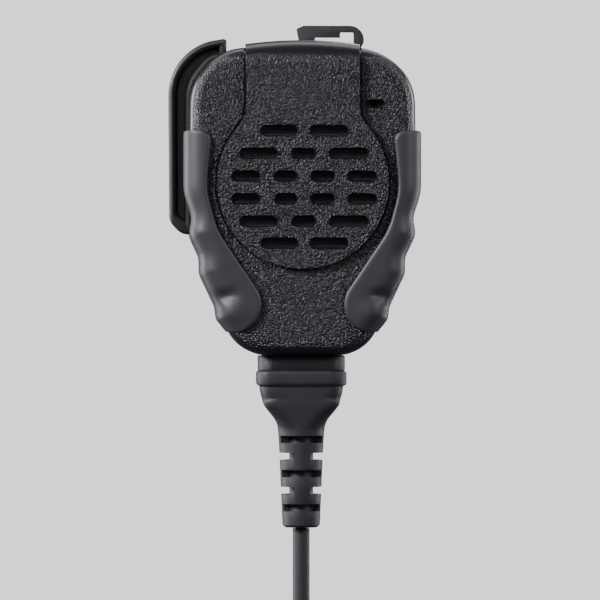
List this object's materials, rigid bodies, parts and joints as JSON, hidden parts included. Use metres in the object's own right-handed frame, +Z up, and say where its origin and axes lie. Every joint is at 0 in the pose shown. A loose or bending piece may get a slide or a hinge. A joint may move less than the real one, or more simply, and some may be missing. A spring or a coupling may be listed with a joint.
{
  "type": "hand microphone",
  "caption": "Hand-held speaker microphone with slotted round grille, side push-to-talk paddle, rubber grips, swivelling spring clip and a curly cord with a plug.",
  "frame": {"origin": "between the spring clip's jaws, where the strap that the microphone hangs from is gripped", "axes": "+Z up along the housing, towards the paddle's pin; +Y out of the back, through the clip; +X to the right as seen from the front"},
  "size_m": [0.0702, 0.0429, 0.3402],
  "materials": {
    "housing_plastic": "black moulded plastic with a fine leather-like grain, semi-gloss",
    "moulded_plastic": "black moulded plastic, fine satin",
    "grip_rubber": "smooth satin dark grey rubber",
    "cord_rubber": "matt dark grey flexible rubber",
    "screen_cloth": "fine dark grey woven screen",
    "black_steel": "black coated steel",
    "bright_steel": "bright plated steel",
    "brass": "copper wire coil",
    "gilt_brass": "gilt plug pins",
    "board": "green circuit board",
    "foam": "black foam",
    "cone_paper": "black pressed paper",
    "ferrite": "dark grey sintered ferrite",
    "nylon": "off-white nylon",
    "wire_red": "red insulation",
    "wire_white": "white insulation",
    "wire_blue": "blue insulation"
  },
  "bodies": {
    "housing": {"front_cover": "housing_plastic", "rear_cover": "housing_plastic", "case_seal_long": "grip_rubber", "case_seal_short": "grip_rubber", "case_screw_1": "black_steel", "case_screw_2": "black_steel", "case_screw_3": "black_steel", "case_screw_4": "black_steel", "left_grip": "grip_rubber", "right_grip": "grip_rubber", "grille_screen": "screen_cloth", "speaker_gasket": "foam", "speaker_basket": "black_steel", "speaker_cone": "cone_paper", "speaker_coil": "brass", "speaker_magnet": "ferrite", "speaker_pad": "foam", "mic_boot": "grip_rubber", "mic_capsule": "bright_steel", "circuit_board": "board", "board_screw_1": "bright_steel", "board_screw_2": "bright_steel", "audio_chip": "moulded_plastic", "filter_can": "bright_steel", "cable_header": "nylon", "cable_socket": "nylon", "cable_wire_red": "wire_red", "cable_wire_white": "wire_white", "cable_wire_blue": "wire_blue", "speaker_wire_red": "wire_red", "speaker_wire_white": "wire_white", "cable_clamp": "moulded_plastic", "clamp_screw_1": "bright_steel", "clamp_screw_2": "bright_steel", "cable_in_boot": "cord_rubber", "strain_relief": "cord_rubber", "ptt_trough": "moulded_plastic", "ptt_pin": "bright_steel", "ptt_spring": "bright_steel", "ptt_switch": "moulded_plastic", "swivel_screw": "bright_steel", "swivel_washer": "nylon", "cord_lead": "cord_rubber", "cord_curl": "cord_rubber", "cord_tail": "cord_rubber", "plug_boot": "cord_rubber", "plug_body": "moulded_plastic", "plug_pin_large": "gilt_brass", "plug_pin_small": "gilt_brass"},
    "paddle": {"ptt_paddle": "moulded_plastic"},
    "plunger": {"ptt_plunger": "nylon"},
    "clip": {"clip_base": "black_steel", "clip_pin": "bright_steel", "clip_spring": "bright_steel"},
    "clip_jaw": {"clip_lever": "black_steel"}
  },
  "joints": [
    {"name": "ptt_press", "type": "hinge", "parent": "housing", "child": "paddle", "pos_m": [-0.0305, -0.0195, 0.0529], "axis": [0, -1, 0], "range_deg": [0, 1.8], "stiffness_Nm_per_rad": 2, "springref_deg": -1.15, "deforming": ["ptt_spring"]},
    {"name": "plunger_slide", "type": "slide", "parent": "housing", "child": "plunger", "axis": [1, 0, 0], "range_m": [0, 0.0012]},
    {"name": "clip_swivel", "type": "hinge", "parent": "housing", "child": "clip", "pos_m": [0, -0.0037, 0.0254], "axis": [0, 1, 0], "continuous": true},
    {"name": "clip_squeeze", "type": "hinge", "parent": "clip", "child": "clip_jaw", "pos_m": [0, 0.0015, 0.0394], "axis": [1, 0, 0], "range_deg": [0, 12], "stiffness_Nm_per_rad": 0.6, "springref_deg": -28.65, "deforming": ["clip_spring"]}
  ],
  "couplings": [
    {"joint": "plunger_slide", "follows": "ptt_press", "m_per_rad": 0.0355}
  ]
}
